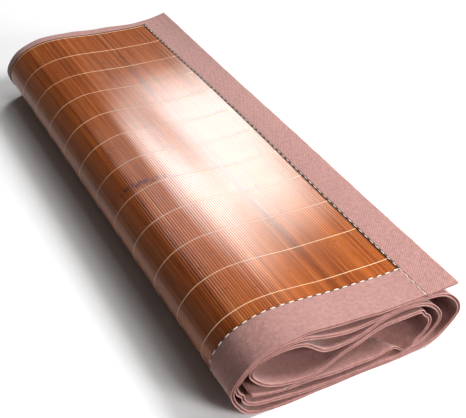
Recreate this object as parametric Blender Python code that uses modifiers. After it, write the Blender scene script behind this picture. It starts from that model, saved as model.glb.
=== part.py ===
"""A bamboo mat wound loosely into a flattened roll, its four sides bound with cloth.

The roll lies along Y with its near end at minus Y and rests on z = 0.
One centre line, seen from the near end, is worked out from the tables below.
The slat panel, the two side borders and the two end strips are all carried along it.
"""

from collections import namedtuple

import bmesh
import bpy
import numpy as np

MM = 0.001

# Driving sizes, in metres
ROLL_LENGTH = 0.900
NEAR_BORDER_WIDTH = 0.058
FAR_BORDER_WIDTH = 0.016
STRIP_WIDTH = 0.049
CLOTH_THICKNESS = 0.0030
PANEL_THICKNESS = 0.0012
FIT_GAP = 0.00035
SEAM_DEPTH = 0.0065
EDGE_ROUNDING = 0.00035

# Spacing of the stations along the centre line
STATION_LENGTH = 0.045
STATION_TURN = np.radians(11.0)
FINE_STEPS = 40
LENGTHWISE_STEPS = 7

# How the roll differs from its near end to its far end; shares are of its height, the rest metres
FAR_SINK = 0.050
FAR_TUCK = 0.005
FAR_TUCK_REACH = 0.150
RIPPLE_HEIGHT = 0.010
RIPPLE_WAVES = 1.3
RIPPLE_SPAN = 0.21
SEAM_CROWN = 0.0035
SEAM_CROWN_REACH = 0.070
FREE_EDGE_LIFT = 0.0065
FREE_EDGE_DROOP = 0.004

# The free edge of the mat on top of the roll, in millimetres from the roll's middle and the floor
FREE_EDGE = ((168.0, 97.0), (145.0, 96.3), (124.0, 95.7))

# The inner edge of the mat, low on the left inside the roll
INNER_EDGE = ((-128.0, 39.0),)

# Heights of each layer where it crosses six upright lines, in millimetres
RUN_LINES = (-95.0, -60.0, -25.0, 10.0, 55.0, 100.0)
Run = namedtuple("Run", "name goes at_m95 at_m60 at_m25 at_10 at_55 at_100")
RUNS = (
    Run("outer top", "left", 102.8, 105.6, 103.2, 99.4, 96.6, 94.9),
    Run("outer bottom", "right", 1.5, 1.5, 1.5, 1.5, 1.5, 2.2),
    Run("second top", "left", 98.0, 99.6, 90.0, 83.0, 85.8, 90.6),
    Run("second bottom", "right", 16.0, 10.0, 7.6, 6.4, 6.6, 10.0),
    Run("third top", "left", 93.2, 90.0, 67.0, 65.5, 80.0, 85.8),
    Run("third bottom", "right", 40.5, 33.5, 37.5, 53.0, 68.5, 70.5),
    Run("folded back", "left", 29.5, 25.5, 23.5, 21.5, 19.5, 20.0),
)

# The bend after each run, in millimetres: where it starts, its outermost point and where it ends
Bend = namedtuple("Bend", "name x_start z_start x_out z_out x_end z_end")
BENDS = (
    Bend("outer left", -131.0, 86.8, -152.5, 54.0, -136.0, 14.3),
    Bend("outer right", 150.0, 13.0, 177.2, 47.0, 153.0, 83.0),
    Bend("second left", -127.6, 83.2, -146.5, 57.0, -133.0, 29.5),
    Bend("second right", 131.0, 21.0, 147.4, 48.0, 127.0, 76.0),
    Bend("third left", -121.0, 83.0, -128.5, 71.0, -117.0, 53.5),
    Bend("folded back", 119.0, 67.0, 131.0, 46.0, 121.0, 28.5),
)

Look = namedtuple("Look", "red green blue roughness")
BAMBOO_LOOK = Look(0.42, 0.15, 0.05, 0.35)
CLOTH_LOOK = Look(0.56, 0.33, 0.31, 0.85)

Y_NEAR = -ROLL_LENGTH / 2
Y_FAR = ROLL_LENGTH / 2
Y_NEAR_SEAM = Y_NEAR + NEAR_BORDER_WIDTH
Y_FAR_SEAM = Y_FAR - FAR_BORDER_WIDTH


def knots():
    """Points of the centre line in order, from the free edge in to the inner edge, in metres."""
    points = list(FREE_EDGE)
    for index, run in enumerate(RUNS):
        crossings = list(zip(RUN_LINES, run[2:]))
        if run.goes == "left":
            crossings.reverse()
        points.extend(crossings)
        if index < len(BENDS):
            bend = BENDS[index]
            points.append((bend.x_start, bend.z_start))
            points.append((bend.x_out, bend.z_out))
            points.append((bend.x_end, bend.z_end))
    points.extend(INNER_EDGE)
    return np.array(points) * MM


def smooth_line(points, steps):
    """A curve through the points, each stretch a cubic whose ends run along the neighbours' chord."""
    ends = [2 * points[0] - points[1], 2 * points[-1] - points[-2]]
    padded = np.vstack([ends[0], points, ends[1]])
    gaps = np.sqrt(np.linalg.norm(np.diff(padded, axis=0), axis=1))
    times = np.concatenate([[0.0], np.cumsum(gaps)])
    slopes = np.zeros_like(points)
    for axis in range(2):
        rise = np.diff(padded[:, axis]) / gaps
        across = (padded[2:, axis] - padded[:-2, axis]) / (times[2:] - times[:-2])
        slopes[:, axis] = rise[:-1] + rise[1:] - across
    span = gaps[1:-1, None, None]
    part = np.linspace(0.0, 1.0, steps, endpoint=False)[None, :, None]
    start, end = points[:-1, None, :], points[1:, None, :]
    start_slope, end_slope = slopes[:-1, None, :] * span, slopes[1:, None, :] * span
    curve = (2 * part**3 - 3 * part**2 + 1) * start + (part**3 - 2 * part**2 + part) * start_slope
    curve = curve + (3 * part**2 - 2 * part**3) * end + (part**3 - part**2) * end_slope
    return np.vstack([curve.reshape(-1, 2), points[-1:]])


class CentreLine:
    """The wound line of the mat, with distances along it and its stations."""

    def __init__(self):
        line = smooth_line(knots(), FINE_STEPS)
        line[:, 0] -= (line[:, 0].min() + line[:, 0].max()) / 2
        line[:, 1] = np.maximum(line[:, 1], CLOTH_THICKNESS / 2)
        steps = np.diff(line, axis=0)
        lengths = np.linalg.norm(steps, axis=1)
        self.line = line
        self.along = np.concatenate([[0.0], np.cumsum(lengths)])
        self.length = self.along[-1]
        heading = np.unwrap(np.arctan2(steps[:, 1], steps[:, 0]))
        turns = np.abs(np.diff(heading, prepend=heading[0]))
        effort = np.cumsum(lengths / STATION_LENGTH + turns / STATION_TURN)
        effort = np.concatenate([[0.0], effort])
        count = int(np.ceil(effort[-1]))
        self.stations = np.interp(np.linspace(0.0, effort[-1], count), effort, self.along)

    def between(self, start, end, also=()):
        """Stations from start to end, both kept, with any near twin of a kept one left out."""
        kept = np.array([start, end, *also])
        clear = np.abs(self.stations[:, None] - kept[None, :]).min(axis=1) > STATION_LENGTH / 8
        inside = (self.stations > start) & (self.stations < end)
        return np.sort(np.concatenate([kept, self.stations[clear & inside]]))

    def at(self, along):
        """Points of the line at the given distances, as x and z."""
        x = np.interp(along, self.along, self.line[:, 0])
        z = np.interp(along, self.along, self.line[:, 1])
        return x, z


def settle(x, y, z, along):
    """Where a point of the plain roll comes to rest, as x and z.

    The far end sinks, its left side tucks in and the roll ripples a little.
    The seam of the free edge strip stands up in the middle and the edge itself droops there.
    """
    share = np.clip((y - Y_NEAR_SEAM) / (Y_FAR_SEAM - Y_NEAR_SEAM), 0.0, 1.0)
    middle = np.sin(np.pi * share)
    wave = middle * np.sin(2 * np.pi * (RIPPLE_WAVES * share + x / RIPPLE_SPAN))
    rise = (z - CLOTH_THICKNESS / 2) * (RIPPLE_HEIGHT * wave - FAR_SINK * share)
    from_seam = (along - STRIP_WIDTH) / SEAM_CROWN_REACH
    crown = SEAM_CROWN * middle * np.exp(-from_seam**2)
    to_edge = np.clip(1.0 - along / STRIP_WIDTH, 0.0, 1.0)
    edge = (FREE_EDGE_LIFT * share - FREE_EDGE_DROOP * middle) * to_edge**2
    tuck = FAR_TUCK * share * np.clip(-x / FAR_TUCK_REACH, 0.0, 1.0)
    return x + tuck, z + rise + crown + edge


def paint(piece, name, look):
    """Gives the piece its own Principled material."""
    material = bpy.data.materials.new(name)
    material.use_nodes = True
    shader = material.node_tree.nodes["Principled BSDF"]
    shader.inputs["Base Color"].default_value = (look.red, look.green, look.blue, 1.0)
    shader.inputs["Roughness"].default_value = look.roughness
    shader.inputs["Metallic"].default_value = 0.0
    piece.data.materials.append(material)


def wound_sheet(name, collection, stations, rows, thickness):
    """Draws the centre line at the first row, extrudes it from row to row and thickens it."""
    mesh = bpy.data.meshes.new(name)
    piece = bpy.data.objects.new(name, mesh)
    collection.objects.link(piece)
    x, z = LINE.at(stations)
    shape = bmesh.new()
    start = [shape.verts.new((px, rows[0], pz)) for px, pz in zip(x, z)]
    front = [shape.edges.new(pair) for pair in zip(start, start[1:])]
    for step in np.diff(rows):
        grown = bmesh.ops.extrude_edge_only(shape, edges=front)["geom"]
        verts = [item for item in grown if isinstance(item, bmesh.types.BMVert)]
        front = [item for item in grown if isinstance(item, bmesh.types.BMEdge)]
        front = [edge for edge in front if edge.verts[0] in verts and edge.verts[1] in verts]
        bmesh.ops.translate(shape, verts=verts, vec=(0.0, step, 0.0))
    bmesh.ops.recalc_face_normals(shape, faces=shape.faces)
    shape.to_mesh(mesh)
    shape.free()
    settle_mesh(mesh, x, z, stations)
    shell = piece.modifiers.new("Thickness", "SOLIDIFY")
    shell.thickness = thickness
    shell.offset = 0.0
    shell.use_even_offset = True
    return piece


def settle_mesh(mesh, x, z, stations):
    """Moves each vertex to where it settles; its station is the nearest one."""
    places = np.empty(len(mesh.vertices) * 3)
    mesh.vertices.foreach_get("co", places)
    places = places.reshape(-1, 3)
    away = np.abs(places[:, None, 0] - x[None, :]) + np.abs(places[:, None, 2] - z[None, :])
    along = stations[np.argmin(away, axis=1)]
    settled = settle(places[:, 0], places[:, 1], places[:, 2], along)
    places[:, 0], places[:, 2] = settled
    mesh.vertices.foreach_set("co", places.reshape(-1))
    mesh.update()


def round_edges(piece):
    """Rounds the cloth's folded edges."""
    rounding = piece.modifiers.new("Rounding", "BEVEL")
    rounding.width = EDGE_ROUNDING
    rounding.segments = 1
    rounding.limit_method = "ANGLE"
    rounding.angle_limit = np.radians(60.0)


def cut_seam(piece, cutter):
    """Opens the slot that the slat panel's edge sits in."""
    slot = piece.modifiers.new("Seam", "BOOLEAN")
    slot.operation = "DIFFERENCE"
    slot.solver = "EXACT"
    slot.object = cutter


def slat_panel(collection):
    """The sheet of slats, its edges held inside the cloth on all four sides."""
    rows = np.linspace(Y_NEAR_SEAM - SEAM_DEPTH, Y_FAR_SEAM + SEAM_DEPTH, LENGTHWISE_STEPS)
    piece = wound_sheet("bamboo_panel", collection, panel_stations(0.0), rows, PANEL_THICKNESS)
    paint(piece, "carbonised_bamboo", BAMBOO_LOOK)


def seam_cutter(collection):
    """The panel grown by the fitting gap, which opens the slots in the cloth."""
    start, end = Y_NEAR_SEAM - SEAM_DEPTH - FIT_GAP, Y_FAR_SEAM + SEAM_DEPTH + FIT_GAP
    rows = np.linspace(start, end, LENGTHWISE_STEPS)
    thickness = PANEL_THICKNESS + 2 * FIT_GAP
    piece = wound_sheet("seam_cutter", collection, panel_stations(FIT_GAP), rows, thickness)
    piece.hide_render = True
    piece.display_type = "WIRE"
    return piece


def panel_stations(grown):
    """Stations of the slat panel, which reaches into both end strips."""
    start = STRIP_WIDTH - SEAM_DEPTH
    end = LINE.length - start
    inner = (STRIP_WIDTH + FIT_GAP, LINE.length - STRIP_WIDTH - FIT_GAP)
    stations = LINE.between(start, end, inner)
    stations[0] = stations[0] - grown
    stations[-1] = stations[-1] + grown
    return stations


def side_border(name, collection, edge, seam, cutter):
    """A cloth strip round the slats' ends, wound with them from strip to strip."""
    start = STRIP_WIDTH + FIT_GAP
    stations = LINE.between(start, LINE.length - start)
    piece = wound_sheet(name, collection, stations, np.array([edge, seam]), CLOTH_THICKNESS)
    round_edges(piece)
    cut_seam(piece, cutter)
    paint(piece, name + "_cloth", CLOTH_LOOK)


def end_strip(name, collection, start, end, cutter):
    """A cloth strip across one end of the mat, as long as the roll."""
    rows = np.linspace(Y_NEAR, Y_FAR, LENGTHWISE_STEPS)
    piece = wound_sheet(name, collection, LINE.between(start, end), rows, CLOTH_THICKNESS)
    round_edges(piece)
    cut_seam(piece, cutter)
    paint(piece, name + "_cloth", CLOTH_LOOK)


def new_collection(name):
    """A collection linked to the scene."""
    collection = bpy.data.collections.new(name)
    bpy.context.scene.collection.children.link(collection)
    return collection


for leftover in list(bpy.data.objects):
    bpy.data.objects.remove(leftover)

LINE = CentreLine()
mat = new_collection("bamboo_mat")
helpers = new_collection("helpers")
slat_panel(mat)
slot_shape = seam_cutter(helpers)
side_border("near_side_border", mat, Y_NEAR, Y_NEAR_SEAM, slot_shape)
side_border("far_side_border", mat, Y_FAR, Y_FAR_SEAM, slot_shape)
end_strip("free_edge_strip", mat, 0.0, STRIP_WIDTH, slot_shape)
end_strip("inner_edge_strip", mat, LINE.length - STRIP_WIDTH, LINE.length, slot_shape)
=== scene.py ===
"""Looks of a slatted bamboo mat, bound with dusty pink cloth and wound into a flattened roll.

The wound line of the mat is worked out from the same tables as the solids.
Every surface is a profile carried along that line: slats, cloth borders, cross threads and stitches.
"""

import math
from collections import namedtuple

import bpy
import numpy as np
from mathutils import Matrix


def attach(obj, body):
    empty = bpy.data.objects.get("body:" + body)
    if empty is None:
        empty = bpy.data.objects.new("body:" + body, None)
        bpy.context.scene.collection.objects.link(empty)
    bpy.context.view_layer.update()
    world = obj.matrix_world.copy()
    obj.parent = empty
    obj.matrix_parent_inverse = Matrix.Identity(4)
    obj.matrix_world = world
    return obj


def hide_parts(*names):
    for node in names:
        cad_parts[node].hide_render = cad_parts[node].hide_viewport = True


bl_info = {
    "name": "Wound bamboo mat",
    "version": (1, 0, 0),
    "blender": (4, 5, 0),
    "location": "3D View > Sidebar > Mat",
    "description": "Builds the slats, binding, threads and stitches of a wound bamboo mat",
    "category": "Add Mesh",
}

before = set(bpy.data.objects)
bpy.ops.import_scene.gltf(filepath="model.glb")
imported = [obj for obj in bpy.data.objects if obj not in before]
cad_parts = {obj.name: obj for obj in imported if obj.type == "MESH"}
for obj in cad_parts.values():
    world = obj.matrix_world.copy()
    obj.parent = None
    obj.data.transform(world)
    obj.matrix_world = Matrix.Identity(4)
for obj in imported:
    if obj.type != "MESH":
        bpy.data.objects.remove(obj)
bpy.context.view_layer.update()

MM = 0.001
PATTERN = "Pattern"

# The wound line, from the free edge on top in to the inner edge, in millimetres
FREE_EDGE = ((168.0, 97.0), (145.0, 96.3), (124.0, 95.7))
INNER_EDGE = ((-128.0, 39.0),)
RUN_LINES = (-95.0, -60.0, -25.0, 10.0, 55.0, 100.0)
Run = namedtuple("Run", "name goes at_m95 at_m60 at_m25 at_10 at_55 at_100")
RUNS = (
    Run("outer top", "left", 102.8, 105.6, 103.2, 99.4, 96.6, 94.9),
    Run("outer bottom", "right", 1.5, 1.5, 1.5, 1.5, 1.5, 2.2),
    Run("second top", "left", 98.0, 99.6, 90.0, 83.0, 85.8, 90.6),
    Run("second bottom", "right", 16.0, 10.0, 7.6, 6.4, 6.6, 10.0),
    Run("third top", "left", 93.2, 90.0, 67.0, 65.5, 80.0, 85.8),
    Run("third bottom", "right", 40.5, 33.5, 37.5, 53.0, 68.5, 70.5),
    Run("folded back", "left", 29.5, 25.5, 23.5, 21.5, 19.5, 20.0),
)
Bend = namedtuple("Bend", "name x_start z_start x_out z_out x_end z_end")
BENDS = (
    Bend("outer left", -131.0, 86.8, -152.5, 54.0, -136.0, 14.3),
    Bend("outer right", 150.0, 13.0, 177.2, 47.0, 153.0, 83.0),
    Bend("second left", -127.6, 83.2, -146.5, 57.0, -133.0, 29.5),
    Bend("second right", 131.0, 21.0, 147.4, 48.0, 127.0, 76.0),
    Bend("third left", -121.0, 83.0, -128.5, 71.0, -117.0, 53.5),
    Bend("folded back", 119.0, 67.0, 131.0, 46.0, 121.0, 28.5),
)

# Sizes shared with the solids, in metres
ROLL_LENGTH = 0.900
NEAR_BORDER_WIDTH = 0.058
FAR_BORDER_WIDTH = 0.016
STRIP_WIDTH = 0.049
CLOTH_THICKNESS = 0.0030
Y_NEAR = -ROLL_LENGTH / 2
Y_FAR = ROLL_LENGTH / 2
Y_NEAR_SEAM = Y_NEAR + NEAR_BORDER_WIDTH
Y_FAR_SEAM = Y_FAR - FAR_BORDER_WIDTH
FAR_SINK = 0.050
FAR_TUCK = 0.005
FAR_TUCK_REACH = 0.150
RIPPLE_HEIGHT = 0.010
RIPPLE_WAVES = 1.3
RIPPLE_SPAN = 0.21
SEAM_CROWN = 0.0035
SEAM_CROWN_REACH = 0.070
FREE_EDGE_LIFT = 0.0065
FREE_EDGE_DROOP = 0.004

# How finely the line is worked out, and how far from a place another layer starts to count
LINE_STEPS = 40
ROOM_STATIONS = 900
NEIGHBOUR_REACH = 0.025
TANGENT_REACH = 0.0006

# Room left between the sheets where they meet at a seam
SEAM_GAP = 0.0001

# Soft forms of the cloth at the near end: where along the mat, how wide, how deep in and how high
Crumple = namedtuple("Crumple", "name along width depth height slant")
CRUMPLES = (
    Crumple("ridge in the right hollow", 2.072, 0.010, 0.055, -0.014, 0.7),
    Crumple("dent behind the ridge", 2.100, 0.014, 0.040, 0.005, 0.5),
    Crumple("fold over the second bottom", 1.335, 0.020, 0.026, 0.0035, 0.9),
    Crumple("pucker at the second left bend", 1.105, 0.005, 0.020, -0.0035, 0.4),
    Crumple("pucker above the second left bend", 1.085, 0.005, 0.020, 0.0025, 0.2),
    Crumple("pucker at the inner bend", 2.010, 0.005, 0.022, 0.0030, 0.3),
)

# Camera fitted to the photograph: metres, degrees and the photograph's width in pixels
CAMERA_PLACE = (-0.5220, -1.1305, 0.8836)
CAMERA_PITCH = 36.19
CAMERA_YAW = 27.65
CAMERA_FOCUS_PIXELS = 956.4
PHOTO_WIDTH = 466
SENSOR_WIDTH = 36.0

# The stage: where each soft light stands and looks and its size, in metres, and its power in watts
Light = namedtuple("Light", "name place target width height power")
LIGHTS = (
    Light("back_softbox", (1.135, 2.01, 1.572), (0.0, -0.1, 0.1), 0.85, 0.72, 29.0),
    Light("right_softbox", (1.5, -0.8, 1.6), (0.0, 0.0, 0.0), 0.7, 0.7, 48.0),
    Light("front_softbox", (0.5, -2.0, 0.95), (0.0, -0.4, 0.0), 0.6, 0.5, 30.0),
    Light("top_softbox", (0.6, 0.2, 2.6), (0.0, 0.0, 0.0), 1.2, 1.2, 10.0),
)
FLOOR_REACH = 12.0
FLOOR_DROP = 0.0002
FLOOR_GREY = 0.84
WORLD_STRENGTH = 0.08


def knots():
    """Points of the wound line in order, from the free edge to the inner edge, in metres."""
    points = list(FREE_EDGE)
    for index, run in enumerate(RUNS):
        crossings = list(zip(RUN_LINES, run[2:]))
        if run.goes == "left":
            crossings.reverse()
        points.extend(crossings)
        if index < len(BENDS):
            bend = BENDS[index]
            points.append((bend.x_start, bend.z_start))
            points.append((bend.x_out, bend.z_out))
            points.append((bend.x_end, bend.z_end))
    points.extend(INNER_EDGE)
    return np.array(points) * MM


def smooth_line(points, steps):
    """A curve through the points, each stretch a cubic whose ends run along the neighbours' chord."""
    ends = [2 * points[0] - points[1], 2 * points[-1] - points[-2]]
    padded = np.vstack([ends[0], points, ends[1]])
    gaps = np.sqrt(np.linalg.norm(np.diff(padded, axis=0), axis=1))
    times = np.concatenate([[0.0], np.cumsum(gaps)])
    slopes = np.zeros_like(points)
    for axis in range(2):
        rise = np.diff(padded[:, axis]) / gaps
        across = (padded[2:, axis] - padded[:-2, axis]) / (times[2:] - times[:-2])
        slopes[:, axis] = rise[:-1] + rise[1:] - across
    span = gaps[1:-1, None, None]
    part = np.linspace(0.0, 1.0, steps, endpoint=False)[None, :, None]
    start, end = points[:-1, None, :], points[1:, None, :]
    start_slope, end_slope = slopes[:-1, None, :] * span, slopes[1:, None, :] * span
    curve = (2 * part**3 - 3 * part**2 + 1) * start + (part**3 - 2 * part**2 + part) * start_slope
    curve = curve + (3 * part**2 - 2 * part**3) * end + (part**3 - part**2) * end_slope
    return np.vstack([curve.reshape(-1, 2), points[-1:]])


def settle(x, y, z, along):
    """Where a point of the plain roll comes to rest: the far end sinks and tucks, the roll ripples."""
    share = np.clip((y - Y_NEAR_SEAM) / (Y_FAR_SEAM - Y_NEAR_SEAM), 0.0, 1.0)
    middle = np.sin(np.pi * share)
    wave = middle * np.sin(2 * np.pi * (RIPPLE_WAVES * share + x / RIPPLE_SPAN))
    rise = (z - CLOTH_THICKNESS / 2) * (RIPPLE_HEIGHT * wave - FAR_SINK * share)
    from_seam = (along - STRIP_WIDTH) / SEAM_CROWN_REACH
    crown = SEAM_CROWN * middle * np.exp(-from_seam**2)
    to_edge = np.clip(1.0 - along / STRIP_WIDTH, 0.0, 1.0)
    edge = (FREE_EDGE_LIFT * share - FREE_EDGE_DROOP * middle) * to_edge**2
    tuck = FAR_TUCK * share * np.clip(-x / FAR_TUCK_REACH, 0.0, 1.0)
    return x + tuck, z + rise + crown + edge


class WoundLine:
    """The wound line of the mat: places, outward directions and room beside each layer."""

    def __init__(self):
        line = smooth_line(knots(), LINE_STEPS)
        line[:, 0] -= (line[:, 0].min() + line[:, 0].max()) / 2
        line[:, 1] = np.maximum(line[:, 1], CLOTH_THICKNESS / 2)
        lengths = np.linalg.norm(np.diff(line, axis=0), axis=1)
        self.line = line
        self.along = np.concatenate([[0.0], np.cumsum(lengths)])
        self.length = self.along[-1]
        self.room_along = np.linspace(0.0, self.length, ROOM_STATIONS)
        self.room = self.gaps_beside()

    def flat(self, along):
        """Points of the line at the given distances, as x and z."""
        x = np.interp(along, self.along, self.line[:, 0])
        z = np.interp(along, self.along, self.line[:, 1])
        return x, z

    def gaps_beside(self):
        """Least distance from each place to any other layer, less the cloth's thickness."""
        x, z = self.flat(self.room_along)
        away = np.hypot(x[:, None] - x[None, :], z[:, None] - z[None, :])
        same = np.abs(self.room_along[:, None] - self.room_along[None, :]) < NEIGHBOUR_REACH
        return np.where(same, 1.0, away).min(axis=1) - CLOTH_THICKNESS

    def place(self, along, y, lift):
        """Points lift metres outward of the settled line, for arrays that broadcast together."""
        along, y, lift = np.broadcast_arrays(along, y, lift)
        x, z = settle(*self.spot(along, y), along)
        before = np.maximum(along - TANGENT_REACH, 0.0)
        after = np.minimum(along + TANGENT_REACH, self.length)
        x0, z0 = settle(*self.spot(before, y), before)
        x1, z1 = settle(*self.spot(after, y), after)
        across = np.hypot(x1 - x0, z1 - z0)
        return np.stack([x + lift * (z1 - z0) / across, y, z - lift * (x1 - x0) / across], axis=-1)

    def spot(self, along, y):
        """The unsettled x, y and z of a place on the mat."""
        x, z = self.flat(along)
        return x, y, z

    def outward(self, along, y):
        """Unit outward directions of the settled mat."""
        step = 0.001
        return (self.place(along, y, np.full_like(along, step)) - self.place(along, y, 0.0 * along)) / step


LINE = WoundLine()


def add_mesh(name, points, faces, pattern):
    """A smooth-shaded mesh object with its pattern map, two numbers for each vertex."""
    mesh = bpy.data.meshes.new(name)
    mesh.from_pydata(points.reshape(-1, 3).tolist(), [], faces)
    corner = np.empty(len(mesh.loops), dtype=np.int32)
    mesh.loops.foreach_get("vertex_index", corner)
    layer = mesh.uv_layers.new(name=PATTERN)
    layer.data.foreach_set("uv", pattern.reshape(-1, 2)[corner].reshape(-1).astype(np.float32))
    mesh.polygons.foreach_set("use_smooth", [True] * len(mesh.polygons))
    mesh.update()
    piece = bpy.data.objects.new(name, mesh)
    bpy.context.scene.collection.objects.link(piece)
    return piece


def ring_faces(rings, count):
    """Quads between neighbouring rings of count points each, and one cap on each end."""
    ring = np.arange(rings - 1)[:, None] * count
    spot = np.arange(count)[None, :]
    after = (spot + 1) % count
    quads = np.stack([ring + spot, ring + after, ring + count + after, ring + count + spot], axis=-1)
    faces = quads.reshape(-1, 4).tolist()
    faces.append(list(range(count - 1, -1, -1)))
    last = (rings - 1) * count
    faces.append(list(range(last, last + count)))
    return faces


def carried(name, along, y, lift, pattern_y):
    """A profile carried along the mat: row i of y and lift is the profile at along[i]."""
    rings, count = y.shape
    steps = np.broadcast_to(along[:, None], y.shape)
    points = LINE.place(steps, y, lift)
    pattern = np.stack([steps, np.broadcast_to(pattern_y, y.shape)], axis=-1)
    return add_mesh(name, points, ring_faces(rings, count), pattern)


def soft_waves(along, y, edge_y, inward):
    """How far cloth stands off its flat place, larger where there is room and towards its outer edge."""
    depth = np.abs(y - edge_y)
    room = np.interp(along, LINE.room_along, LINE.room)
    loose = 0.00010 + 0.09 * np.clip(room - 0.0012, 0.0, 0.006)
    wave = np.sin(along * 46 + 1.3 * np.sin(along * 17)) + 0.5 * np.sin(along * 97 + y * 60 + 0.7)
    shift = loose * wave * (0.25 + 0.75 * np.exp(-depth / 0.018))
    for crumple in CRUMPLES:
        middle = crumple.along + crumple.slant * depth
        hump = np.exp(-(((along - middle) / crumple.width) ** 2)) * np.exp(-((depth / crumple.depth) ** 2))
        shift = shift + crumple.height * hump * inward
    return shift


# Outline of a bound edge, from its outer face to its inner one: metres in from the edge, metres of lift
EDGE_IN = np.array([7.0, 1.2, 0.3, 0.0, 0.25, 0.9, 5.5, 5.5, 0.9, 0.25, 0.0, 0.3, 1.2, 7.0]) * MM
EDGE_LIFT = MM * np.array(
    [1.5, 1.5, 1.40, 1.12, 0.82, 0.7, 0.4, -0.4, -0.7, -0.82, -1.12, -1.40, -1.5, -1.5]
)

# Outline of a seam edge that lies on the slats: metres in from the seam, metres of lift
SEAM_IN = np.array([3.0, 1.6, 0.5, 0.1, 0.0, 0.0, 0.1, 0.5, 1.6, 3.0]) * MM
SEAM_LIFT = np.array([1.36, 1.12, 1.42, 1.2, 0.9, -0.9, -1.2, -1.42, -1.12, -1.36]) * MM


def border_profile(edge, seam, rows):
    """Closed outline of a side border across the mat: outer edge, inner face, seam, outer face."""
    way = np.sign(seam - edge)
    start, end = edge + way * EDGE_IN[-1], seam - way * SEAM_IN[0]
    inner = np.linspace(start, end, rows)[1:-1]
    y = np.concatenate([edge + way * EDGE_IN, inner, seam - way * SEAM_IN[::-1], inner[::-1]])
    half = np.full(rows - 2, CLOTH_THICKNESS / 2)
    lift = np.concatenate([EDGE_LIFT, -half, SEAM_LIFT[::-1], half])
    return y, lift


def bound_both(y_start, y_end, rows):
    """Closed outline of an end strip along the roll, a bound edge at both ends."""
    inner = np.linspace(y_start + EDGE_IN[0], y_end - EDGE_IN[0], rows)[1:-1]
    y = np.concatenate([y_start + EDGE_IN, inner, y_end - EDGE_IN[::-1], inner[::-1]])
    half = np.full(rows - 2, CLOTH_THICKNESS / 2)
    lift = np.concatenate([EDGE_LIFT, -half, EDGE_LIFT[::-1], half])
    return y, lift


class Link:
    """A shader socket that Python expressions can add, subtract, multiply, divide and compare."""

    def __init__(self, shader, socket):
        self.shader = shader
        self.socket = socket

    def math(self, operation, *others):
        """A Math node on this value and others."""
        values = {0: self}
        values.update({index + 1: other for index, other in enumerate(others)})
        return self.shader.node("ShaderNodeMath", {"operation": operation}, values)

    def __add__(self, other):
        return self.math("ADD", other)

    def __radd__(self, other):
        return self.math("ADD", other)

    def __sub__(self, other):
        return self.math("SUBTRACT", other)

    def __mul__(self, other):
        return self.math("MULTIPLY", other)

    def __rmul__(self, other):
        return self.math("MULTIPLY", other)

    def __truediv__(self, other):
        return self.math("DIVIDE", other)

    def __gt__(self, other):
        return self.math("GREATER_THAN", other)


class Shader:
    """A material's node tree with one method for every kind of node."""

    def __init__(self, name, roughness, specular=0.5, coat=0.0, coat_roughness=0.1, sheen=0.0):
        self.material = bpy.data.materials.new(name)
        self.material.use_nodes = True
        self.tree = self.material.node_tree
        self.out = self.tree.nodes["Principled BSDF"]
        self.out.inputs["Roughness"].default_value = roughness
        self.out.inputs["Specular IOR Level"].default_value = specular
        self.out.inputs["Coat Weight"].default_value = coat
        self.out.inputs["Coat Roughness"].default_value = coat_roughness
        self.out.inputs["Sheen Weight"].default_value = sheen

    def node(self, kind, settings=None, values=None, output=0):
        """Adds a node, sets its settings first, then its sockets' values or links."""
        node = self.tree.nodes.new(kind)
        for key, value in (settings or {}).items():
            setattr(node, key, value)
        for key, value in (values or {}).items():
            if isinstance(value, Link):
                self.tree.links.new(value.socket, node.inputs[key])
            else:
                node.inputs[key].default_value = value
        return Link(self, node.outputs[output])

    def pattern(self):
        """The two numbers of the piece's own pattern map: along the mat and along the roll."""
        spot = self.node("ShaderNodeUVMap", {"uv_map": PATTERN})
        along = self.node("ShaderNodeSeparateXYZ", None, {0: spot})
        length = Link(self, along.socket.node.outputs["Y"])
        return along, length

    def point(self, x, y, z=0.0):
        """A vector from three numbers."""
        return self.node("ShaderNodeCombineXYZ", None, {0: x, 1: y, 2: z})

    def noise(self, where, scale, detail=2.0, roughness=0.5):
        """Soft noise from about 0 to 1."""
        values = {"Vector": where, "Scale": scale, "Detail": detail, "Roughness": roughness}
        return self.node("ShaderNodeTexNoise", None, values)

    def chance(self, number):
        """A different even chance from 0 to 1 for each whole number."""
        return self.node("ShaderNodeTexWhiteNoise", {"noise_dimensions": "1D"}, {"W": number})

    def mix(self, share, first, second):
        """A colour between two colours."""
        values = {0: share, 6: first, 7: second}
        return self.node("ShaderNodeMix", {"data_type": "RGBA"}, values, output=2)

    def ramp(self, value, low, high):
        """Zero below low, one above high, smooth between; low may be the greater one."""
        settings = {"interpolation_type": "SMOOTHSTEP"}
        return self.node("ShaderNodeMapRange", settings, {0: value, 1: low, 2: high, 3: 0.0, 4: 1.0})

    def set(self, name, value):
        """Links a value into the shader."""
        self.tree.links.new(value.socket, self.out.inputs[name])

    def bump(self, height, distance, strength):
        """Raises the surface by the height."""
        values = {"Height": height, "Distance": distance, "Strength": strength}
        self.set("Normal", self.node("ShaderNodeBump", None, values))


def rgba(colour):
    """A colour property as four numbers."""
    return (colour[0], colour[1], colour[2], 1.0)


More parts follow.
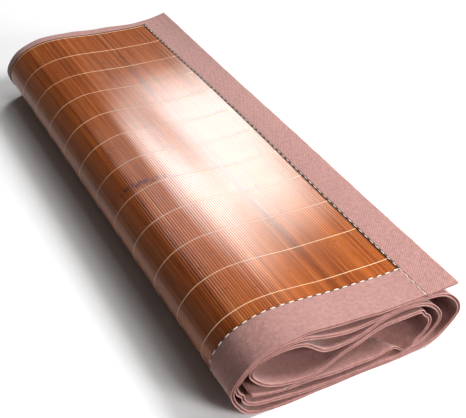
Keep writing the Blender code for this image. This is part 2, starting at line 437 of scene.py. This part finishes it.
def bamboo_material(sizes, colours):
    """Lacquered slats: each its own brown, fine grain along it, dark joints deepened by painted shade in the
    grooves, and scattered node marks.
    """
    shader = Shader("carbonised_bamboo", 0.34, specular=0.35, coat=0.26, coat_roughness=0.05)
    along, length = shader.pattern()
    slat = (along / sizes.slat_pitch).math("FLOOR")
    within = (along / sizes.slat_pitch).math("FRACT")
    own = shader.chance(slat)
    other = shader.chance(slat * 1.7 + 31.3)
    group = shader.noise(shader.point(along * 16.0, length * 1.1), 1.0, 3.0, 0.6)
    grain = shader.noise(shader.point(along * 2600.0, length * 26.0, slat), 1.0, 4.0, 0.65)
    streak = shader.noise(shader.point(slat * 5.3, length * 5.0 + other * 40.0), 1.0, 3.0, 0.6)
    tone = 0.24 * own + 0.50 * streak + 0.5 * grain + 0.8 * group - 0.60
    body = shader.mix(shader.ramp(tone, 0.05, 0.75), rgba(colours.slat_dark), rgba(colours.slat))
    pale = shader.ramp(other, 0.86, 1.0) * shader.ramp(streak, 0.45, 0.65)
    body = shader.mix(pale * 0.3, body, rgba(colours.slat_light))
    jitter = 0.022 * (shader.noise(shader.point(slat * 0.45, 4.0), 1.0) - 0.5) + 0.008 * (other - 0.5)
    mark_place = (length + 0.063 - 0.18 * (along - 0.268) + jitter).math("ABSOLUTE")
    patch = (along - 0.266).math("ABSOLUTE")
    mark = shader.ramp(mark_place, 0.0075, 0.002) * shader.ramp(patch, 0.048, 0.034) * (own > 0.35)
    body = shader.mix(mark * 0.9, body, rgba(colours.node_mark))
    stray = shader.ramp((length * 3.1 + other * 9.0).math("FRACT"), 0.988, 0.995) * (own > 0.7)
    body = shader.mix(stray * 0.5, body, rgba(colours.node_mark))
    # Painted shade: the slat edges are darkened towards the groove colour, partly the dark joint itself and
    # partly the shade that falls between the slats.
    edge = shader.ramp((within - 0.5).math("ABSOLUTE"), 0.40, 0.49)
    body = shader.mix(edge * 0.7, body, rgba(colours.groove))
    shader.set("Base Color", body)
    shader.set("Roughness", 0.10 + 0.09 * grain + 0.25 * edge + 0.04 * own + 0.4 * mark)
    shader.bump(grain * 0.4 + 0.25 * streak, 0.00004, 0.4)
    return shader.material


def cloth_material(name, sizes, colours, rib_depth):
    """Cotton twill: slanting ribs crossed by fine threads, a little faded and mottled."""
    shader = Shader(name, 0.82, specular=0.25, sheen=0.25)
    along, length = shader.pattern()
    ribs = ((along * 0.88 + length * 0.48) * (2 * math.pi / sizes.twill_pitch)).math("SINE")
    cross = ((length * 0.88 - along * 0.48) * (2 * math.pi / (sizes.twill_pitch * 0.62))).math("SINE")
    fluff = shader.noise(shader.point(along * 1400.0, length * 1400.0), 1.0, 3.0, 0.7)
    cloud = shader.noise(shader.point(along * 150.0, length * 150.0), 1.0, 5.0, 0.7)
    weave = 0.5 + rib_depth * ribs + 0.10 * cross
    tone = 0.5 * weave + 0.7 * fluff + 1.1 * cloud - 0.62
    shader.set("Base Color", shader.mix(tone, rgba(colours.cloth_dark), rgba(colours.cloth)))
    shader.set("Roughness", 0.74 + 0.2 * fluff)
    shader.bump(0.5 * weave + 0.5 * fluff + 2.0 * cloud, 0.0008, 0.6)
    return shader.material


def thread_material(name, colour, dark):
    """Twisted thread: fine slanting ply lines over its own colour."""
    shader = Shader(name, 0.6, specular=0.35, sheen=0.15)
    along, length = shader.pattern()
    twist = ((along + length) * (2 * math.pi / 0.0011)).math("SINE") * 0.5 + 0.5
    shader.set("Base Color", shader.mix(twist, rgba(dark), rgba(colour)))
    shader.bump(twist, 0.0001, 0.6)
    return shader.material


class MatSizes(bpy.types.PropertyGroup):
    """Sizes of the visible detail."""

    slat_pitch: bpy.props.FloatProperty(
        name="Slat pitch", description="From one slat to the next", default=0.0036, unit="LENGTH"
    )
    slat_height: bpy.props.FloatProperty(
        name="Slat height", description="Half a slat's thickness", default=0.0008, unit="LENGTH"
    )
    groove_height: bpy.props.FloatProperty(
        name="Groove height", description="Half thickness between slats", default=0.0003, unit="LENGTH"
    )
    thread_count: bpy.props.IntProperty(
        name="Cross threads", description="Threads that hold the slats together", default=12
    )
    thread_first: bpy.props.FloatProperty(
        name="First thread", description="From the far end to the first thread", default=0.0204, unit="LENGTH"
    )
    thread_gap: bpy.props.FloatProperty(
        name="Thread spacing", description="From one thread to the next", default=0.0724, unit="LENGTH"
    )
    thread_width: bpy.props.FloatProperty(
        name="Thread width", description="Width of a cross thread", default=0.0015, unit="LENGTH"
    )
    stitch_pitch: bpy.props.FloatProperty(
        name="Stitch pitch", description="From one stitch to the next", default=0.0130, unit="LENGTH"
    )
    stitch_length: bpy.props.FloatProperty(
        name="Stitch length", description="Visible length of a stitch", default=0.0076, unit="LENGTH"
    )
    twill_pitch: bpy.props.FloatProperty(
        name="Twill pitch", description="From one rib of the cloth to the next", default=0.0023, unit="LENGTH"
    )


def colour_property(name, description, default):
    """A colour that a user can change."""
    return bpy.props.FloatVectorProperty(
        name=name, description=description, default=default, subtype="COLOR", min=0.0, max=1.0
    )


class MatColours(bpy.types.PropertyGroup):
    """Colours of the mat."""

    slat: colour_property("Slat", "Usual brown of a slat", (0.47, 0.140, 0.034))
    slat_dark: colour_property("Dark slat", "Darkest brown of a slat", (0.17, 0.040, 0.009))
    slat_light: colour_property("Pale slat", "Palest streaks", (0.72, 0.36, 0.15))
    node_mark: colour_property("Node mark", "Dark mark where a cane had a node", (0.09, 0.014, 0.005))
    # Groove colour: the dark joint between the slats, also used as painted shade in the grooves.
    groove: colour_property("Groove", "Between the slats", (0.09, 0.022, 0.007))
    cloth: colour_property("Cloth", "Lit binding cloth", (0.50, 0.285, 0.255))
    cloth_dark: colour_property("Cloth shade", "Hollows of the weave", (0.225, 0.100, 0.088))
    thread: colour_property("Cross thread", "Thread across the slats", (0.95, 0.70, 0.46))
    stitch: colour_property("Stitch", "Thread of the seams", (0.95, 0.88, 0.76))
    # Painted shadow: near-black colour of the bands along the seams, standing in for the shadow of the seam
    # edges and needle holes.
    seam_shadow_colour: colour_property("Stitch gap", "Dark needle holes", (0.05, 0.025, 0.02))


def finish_piece(piece, material):
    """Gives the piece its material, slot and body."""
    piece.data.materials.append(material)
    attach(piece, "root")


class BuildSlats(bpy.types.Operator):
    """Builds the wound sheet of rounded slats."""

    bl_idname = "mat.build_slats"
    bl_label = "Slats"

    def execute(self, context):
        sizes, colours = context.scene.mat_sizes, context.scene.mat_colours
        pitch = sizes.slat_pitch
        first = math.ceil((STRIP_WIDTH + SEAM_GAP) / pitch)
        last = math.floor((LINE.length - STRIP_WIDTH - SEAM_GAP) / pitch)
        slats = np.arange(first, last)[:, None]
        phases = np.array([0.0, 0.10, 0.23, 0.77, 0.90])[None, :]
        heights = np.array([0.0, 0.86, 1.0, 1.0, 0.86])[None, :]
        along = ((slats + phases) * pitch).reshape(-1)
        share = np.broadcast_to(heights, (len(slats), 5)).reshape(-1)
        along = np.concatenate([[STRIP_WIDTH + SEAM_GAP], along, [LINE.length - STRIP_WIDTH - SEAM_GAP]])
        share = np.concatenate([[0.5], share, [0.5]])
        thick = sizes.groove_height + (sizes.slat_height - sizes.groove_height) * share
        rows = np.linspace(Y_NEAR_SEAM + 0.0006, Y_FAR_SEAM - 0.0006, 11)
        rows = np.concatenate([[Y_NEAR_SEAM + SEAM_GAP], rows, [Y_FAR_SEAM - SEAM_GAP]])
        y = np.concatenate([rows, rows[::-1]])
        side = np.concatenate([-np.ones_like(rows), np.ones_like(rows)])
        y_all = np.broadcast_to(y, (len(along), len(y)))
        piece = carried("slats", along, y_all, thick[:, None] * side[None, :], y)
        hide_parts("bamboo_panel")
        finish_piece(piece, bamboo_material(sizes, colours))
        return {"FINISHED"}


def side_border(name, node, edge, seam, rows, material):
    """A side border wound with the slats, its edge wandering a little and its cloth softly waved."""
    along = np.arange(STRIP_WIDTH + SEAM_GAP, LINE.length - STRIP_WIDTH - SEAM_GAP, 0.0028)
    y, lift = border_profile(edge, seam, rows)
    way = np.sign(seam - edge)
    depth = np.abs(y - edge) / np.abs(seam - edge)
    wander = 0.0009 * (1 + np.sin(along * 37) * 0.6 + np.sin(along * 91 + 1.0) * 0.4)
    y_all = y[None, :] + way * wander[:, None] * (1 - depth)[None, :]
    fade = np.clip((1 - depth) * 3.0, 0.0, 1.0)[None, :]
    waves = soft_waves(along[:, None], y_all, edge, float(edge < seam)) * fade
    waves = np.where(LINE.flat(along)[1][:, None] < 0.004, 0.0, waves)
    room = np.interp(along, LINE.room_along, LINE.room)
    spread = np.where(LINE.flat(along)[1] < 0.006, 0.0, np.clip(room * 220.0, 0.0, 0.8))
    open_up = 1 + spread[:, None] * np.exp(-((np.abs(y - edge) / 0.006) ** 2))[None, :]
    piece = carried(name, along, y_all, lift[None, :] * open_up + waves, y)
    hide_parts(node)
    finish_piece(piece, material)


def end_strip(name, node, start, end, material):
    """An end strip as long as the roll, hemmed at both ends, softly waved."""
    along = np.linspace(start, end, 26)
    y, lift = bound_both(Y_NEAR, Y_FAR, 90)
    y_all = np.broadcast_to(y, (len(along), len(y)))
    puff = 0.00025 * np.sin(y_all * 85 + along[:, None] * 60) + 0.0002 * np.sin(y_all * 210)
    piece = carried(name, along, y_all, lift[None, :] + puff, y)
    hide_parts(node)
    finish_piece(piece, material)


class BuildBinding(bpy.types.Operator):
    """Builds the four strips of binding cloth."""

    bl_idname = "mat.build_binding"
    bl_label = "Binding"

    def execute(self, context):
        sizes, colours = context.scene.mat_sizes, context.scene.mat_colours
        cloth = cloth_material("binding_twill", sizes, colours, 0.08)
        ribbed = cloth_material("ribbed_twill", sizes, colours, 0.34)
        side_border("near_border_cloth", "near_side_border", Y_NEAR, Y_NEAR_SEAM, 22, cloth)
        side_border("far_border_cloth", "far_side_border", Y_FAR, Y_FAR_SEAM, 8, cloth)
        end_strip("free_edge_cloth", "free_edge_strip", 0.0, STRIP_WIDTH, ribbed)
        inner = LINE.length - STRIP_WIDTH
        end_strip("inner_edge_cloth", "inner_edge_strip", inner, LINE.length, ribbed)
        return {"FINISHED"}


class BuildThreads(bpy.types.Operator):
    """Builds the cross threads, each dipping between the slats all along the mat."""

    bl_idname = "mat.build_threads"
    bl_label = "Cross threads"

    def execute(self, context):
        sizes, colours = context.scene.mat_sizes, context.scene.mat_colours
        half_pitch = sizes.slat_pitch / 2
        first = math.ceil((STRIP_WIDTH + 0.001) / half_pitch)
        last = math.floor((LINE.length - STRIP_WIDTH - 0.001) / half_pitch)
        count = np.arange(first, last)
        along = count * half_pitch
        dip = np.where(count % 2 == 0, -0.00022, 0.0)
        half = sizes.thread_width / 2
        profile_y = np.array([-half, 0.0, half, 0.0])
        profile_lift = sizes.slat_height + np.array([-0.0001, -0.0002, -0.0001, 0.00042])
        points, faces, pattern = [], [], []
        for index in range(sizes.thread_count):
            middle = Y_FAR - sizes.thread_first - index * sizes.thread_gap
            sway = 0.0006 * np.sin(along * 9 + index * 2.1) + 0.0003 * np.sin(along * 41 + index)
            y = middle + sway[:, None] + profile_y[None, :]
            steps = np.broadcast_to(along[:, None], y.shape)
            points.append(LINE.place(steps, y, profile_lift[None, :] + dip[:, None]).reshape(-1, 3))
            pattern.append(np.stack([steps, y], axis=-1).reshape(-1, 2))
            base = index * len(along) * 4
            faces.extend([[corner + base for corner in face] for face in ring_faces(len(along), 4)])
        piece = add_mesh("cross_threads", np.concatenate(points), faces, np.concatenate(pattern))
        dark = tuple(0.62 * part for part in colours.thread)
        finish_piece(piece, thread_material("cross_thread", colours.thread, dark))
        return {"FINISHED"}


def bead(length, width, height):
    """A flattened bead along its first axis: rings of points on an ellipsoid, and its faces."""
    rings, count = 6, 6
    tilt = np.linspace(0.06, math.pi - 0.06, rings)[:, None]
    turn = np.linspace(0.0, 2 * math.pi, count, endpoint=False)[None, :]
    fore = -np.cos(tilt) * length / 2 + 0 * turn
    side = np.sin(tilt) ** 0.6 * np.cos(turn) * width / 2
    rise = np.sin(tilt) ** 0.6 * np.sin(turn) * height
    return np.stack([fore, side, rise], axis=-1).reshape(-1, 3), ring_faces(rings, count)


def stitch_row(name, along, y, heading, lift, size, material):
    """Beads in a row: each stitch lies on the cloth along its heading, in mat directions."""
    shape, faces = bead(*size)
    spot = LINE.place(along, y, lift)
    outward = LINE.outward(along, y)
    reach = 0.001
    fore = LINE.place(along + heading[0] * reach, y + heading[1] * reach, lift) - spot
    fore = fore / np.linalg.norm(fore, axis=1)[:, None]
    side = np.cross(outward, fore)
    points = spot[:, None, :] + shape[None, :, 0:1] * fore[:, None, :]
    points = points + shape[None, :, 1:2] * side[:, None, :] + shape[None, :, 2:3] * outward[:, None, :]
    base = np.arange(len(along)) * len(shape)
    all_faces = [[corner + int(start) for corner in face] for start in base for face in faces]
    pattern = np.stack([points[..., 0], points[..., 1]], axis=-1)
    piece = add_mesh(name, points, all_faces, pattern)
    finish_piece(piece, material)


def ribbon(name, along, y, across, half_width, lift, material):
    """A thin flat band that follows a path on the mat, half_width to each side along across."""
    sides = np.array([-1.0, 0.0, 1.0, 0.0])[None, :] * half_width
    heights = lift + np.array([-0.0003, 0.0002, -0.0003, -0.0008])[None, :]
    steps = along[:, None] + sides * across[0]
    places = y[:, None] + sides * across[1]
    pattern = np.stack([steps, places], axis=-1)
    faces = ring_faces(len(along), 4)
    if across[0] > 0:
        faces = [face[::-1] for face in faces]
    piece = add_mesh(name, LINE.place(steps, places, heights), faces, pattern)
    finish_piece(piece, material)


class BuildStitches(bpy.types.Operator):
    """Builds the stitches of the free, inner and near seams, and near-black bands of painted shadow along all
    four seams.
    """

    bl_idname = "mat.build_stitches"
    bl_label = "Stitches"

    def execute(self, context):
        sizes, colours = context.scene.mat_sizes, context.scene.mat_colours
        dark = tuple(0.6 * part for part in colours.stitch)
        light = thread_material("seam_thread", colours.stitch, dark)
        # The near-black material of the seam bands is painted shadow of the seam edges and needle holes.
        shadow_band_material = thread_material("painted_seam_shadow", colours.seam_shadow_colour, tuple(colours.seam_shadow_colour))
        pitch, size = sizes.stitch_pitch, (sizes.stitch_length, 0.0017, 0.0006)
        y = np.arange(Y_NEAR + 0.004, Y_FAR - 0.004, pitch)
        path = np.linspace(Y_NEAR + 0.0005, Y_FAR - 0.0005, 80)
        for name, seam, way in (("free", STRIP_WIDTH, 1.0), ("inner", LINE.length - STRIP_WIDTH, -1.0)):
            row = np.full_like(y, seam + way * 0.0012)
            stitch_row(name + "_seam_stitches", row, y, (0.0, 1.0), 0.0017, size, light)
            middle = np.full_like(path, seam + way * 0.0012)
            # A band of painted shadow under the stitches of this seam.
            ribbon(name + "_seam_shadow", middle, path, (1.0, 0.0), 0.0017, 0.0013, shadow_band_material)
        along = np.arange(STRIP_WIDTH + 0.006, LINE.length - STRIP_WIDTH - 0.006, pitch)
        path = np.arange(STRIP_WIDTH + 0.001, LINE.length - STRIP_WIDTH - 0.001, 0.003)
        for name, seam, way in (("near", Y_NEAR_SEAM, 1.0), ("far", Y_FAR_SEAM, -1.0)):
            middle = np.full_like(path, seam + way * 0.0006)
            # A band of painted shadow along the near and far seams.
            ribbon(name + "_seam_shadow", path, middle, (0.0, 1.0), 0.0011, 0.0012, shadow_band_material)
            if name == "near":
                row = np.full_like(along, seam + way * 0.0006)
                stitch_row(name + "_seam_stitches", along, row, (1.0, 0.0), 0.0015, size, light)
        return {"FINISHED"}


class BuildStage(bpy.types.Operator):
    """Builds the pale floor, the soft lights and the camera."""

    bl_idname = "mat.build_stage"
    bl_label = "Stage"

    def execute(self, context):
        scene = context.scene
        reach = FLOOR_REACH
        points = np.array([[-reach, -reach, 0], [reach, -reach, 0], [reach, reach, 0], [-reach, reach, 0]])
        floor = add_mesh("floor", points - np.array([0, 0, FLOOR_DROP]), [[0, 1, 2, 3]], points[:, :2])
        shader = Shader("pale_floor", 0.9, specular=0.1)
        shader.out.inputs["Base Color"].default_value = (FLOOR_GREY, FLOOR_GREY, FLOOR_GREY, 1.0)
        floor.data.materials.append(shader.material)
        world = bpy.data.worlds.new("soft_studio")
        world.use_nodes = True
        world.node_tree.nodes["Background"].inputs["Color"].default_value = (1.0, 1.0, 1.0, 1.0)
        world.node_tree.nodes["Background"].inputs["Strength"].default_value = WORLD_STRENGTH
        scene.world = world
        scene.view_settings.view_transform = "Standard"
        scene.view_settings.look = "Medium High Contrast"
        for light in LIGHTS:
            data = bpy.data.lights.new(light.name, "AREA")
            data.shape = "RECTANGLE"
            data.size = light.width
            data.size_y = light.height
            data.energy = light.power
            lamp = bpy.data.objects.new(light.name, data)
            place, target = np.array(light.place), np.array(light.target)
            lamp.location = light.place
            away = target - place
            flat = math.hypot(away[0], away[1])
            tilt = math.atan2(flat, -away[2])
            lamp.rotation_euler = (tilt, 0.0, math.atan2(away[1], away[0]) - math.pi / 2)
            scene.collection.objects.link(lamp)
        data = bpy.data.cameras.new("photo_camera")
        data.sensor_width = SENSOR_WIDTH
        data.lens = SENSOR_WIDTH * CAMERA_FOCUS_PIXELS / PHOTO_WIDTH
        camera = bpy.data.objects.new("photo_camera", data)
        camera.location = CAMERA_PLACE
        camera.rotation_euler = (math.radians(90 - CAMERA_PITCH), 0.0, -math.radians(CAMERA_YAW))
        scene.collection.objects.link(camera)
        scene.camera = camera
        return {"FINISHED"}


OPERATORS = (BuildSlats, BuildBinding, BuildThreads, BuildStitches, BuildStage)


class MatPanel(bpy.types.Panel):
    """Lists the mat's pieces in the sidebar."""

    bl_idname = "VIEW3D_PT_wound_mat"
    bl_label = "Wound bamboo mat"
    bl_space_type = "VIEW_3D"
    bl_region_type = "UI"
    bl_category = "Mat"

    def draw(self, context):
        for group in (context.scene.mat_sizes, context.scene.mat_colours):
            for name in group.__annotations__:
                self.layout.prop(group, name)
        for operator in OPERATORS:
            self.layout.operator(operator.bl_idname)


CLASSES = (MatSizes, MatColours, *OPERATORS, MatPanel)


def register():
    """Registers the add-on's classes and settings."""
    for item in CLASSES:
        bpy.utils.register_class(item)
    bpy.types.Scene.mat_sizes = bpy.props.PointerProperty(type=MatSizes)
    bpy.types.Scene.mat_colours = bpy.props.PointerProperty(type=MatColours)


def unregister():
    """Removes the add-on's classes and settings."""
    del bpy.types.Scene.mat_colours
    del bpy.types.Scene.mat_sizes
    for item in reversed(CLASSES):
        bpy.utils.unregister_class(item)


def main():
    """Builds every piece in order."""
    register()
    bpy.ops.mat.build_slats()
    bpy.ops.mat.build_binding()
    bpy.ops.mat.build_threads()
    bpy.ops.mat.build_stitches()
    bpy.ops.mat.build_stage()


if __name__ == "__main__":
    main()
